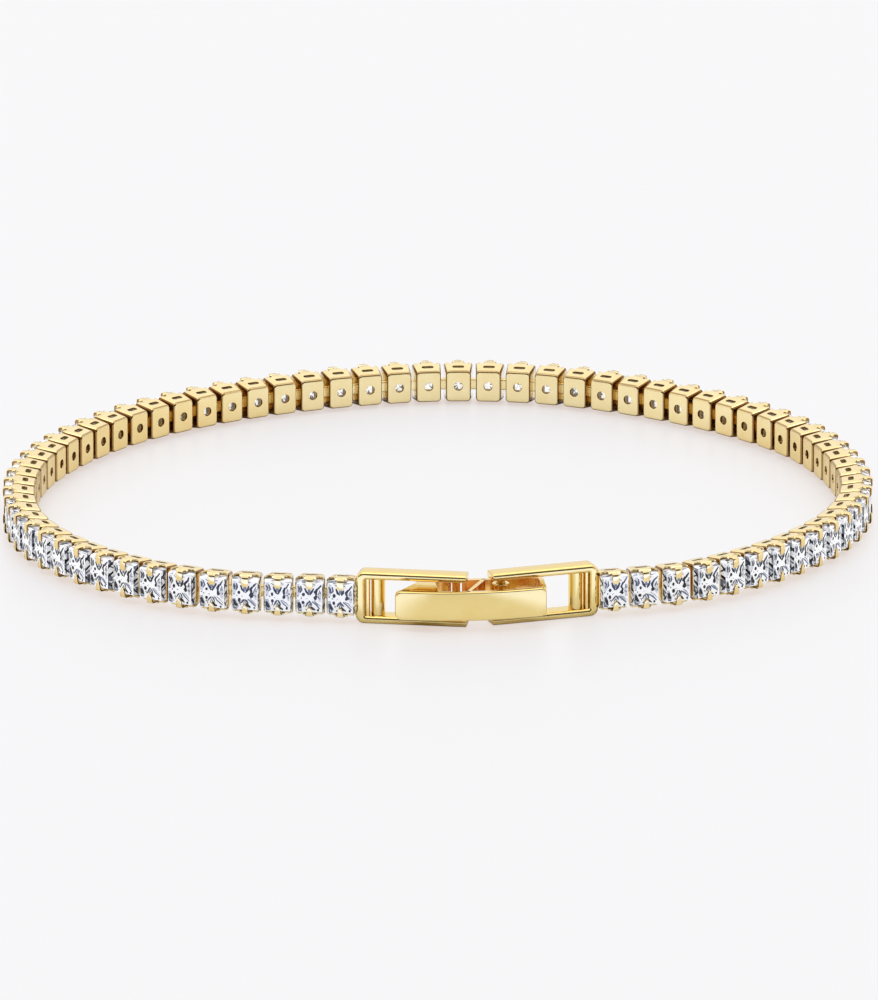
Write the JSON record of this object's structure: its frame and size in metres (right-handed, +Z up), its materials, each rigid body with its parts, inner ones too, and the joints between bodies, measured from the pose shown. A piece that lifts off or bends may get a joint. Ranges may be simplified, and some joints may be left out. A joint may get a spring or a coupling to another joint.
{
  "type": "tennis bracelet",
  "caption": "Bracelet of square cut stones in gold box links, closed by a fold-over clasp, standing on its edge as a loop.",
  "frame": {"origin": "on the surface it stands on, below the middle of the whole bracelet", "axes": "+Z up, along the wrist; -Y towards the clasp; +X to the right as seen from the clasp side"},
  "size_m": [0.0616, 0.059, 0.0037],
  "materials": {
    "gold_links": "yellow gold plate, polished",
    "gold_clasp": "yellow gold plate, mirror polished",
    "clear_stone": "clear faceted stone"
  },
  "bodies": {
    "bracelet": {"link_row_left": "gold_links", "link_row_right": "gold_links", "clasp_frame_left": "gold_clasp", "clasp_frame_right": "gold_clasp"},
    "clasp_lever": {"clasp_lever": "gold_clasp"}
  },
  "joints": [
    {"name": "clasp_lever_hinge", "type": "hinge", "parent": "bracelet", "child": "clasp_lever", "pos_m": [0.00438, -0.02684, 0.00187], "axis": [0, 0, 1], "range_deg": [0, 110]}
  ]
}
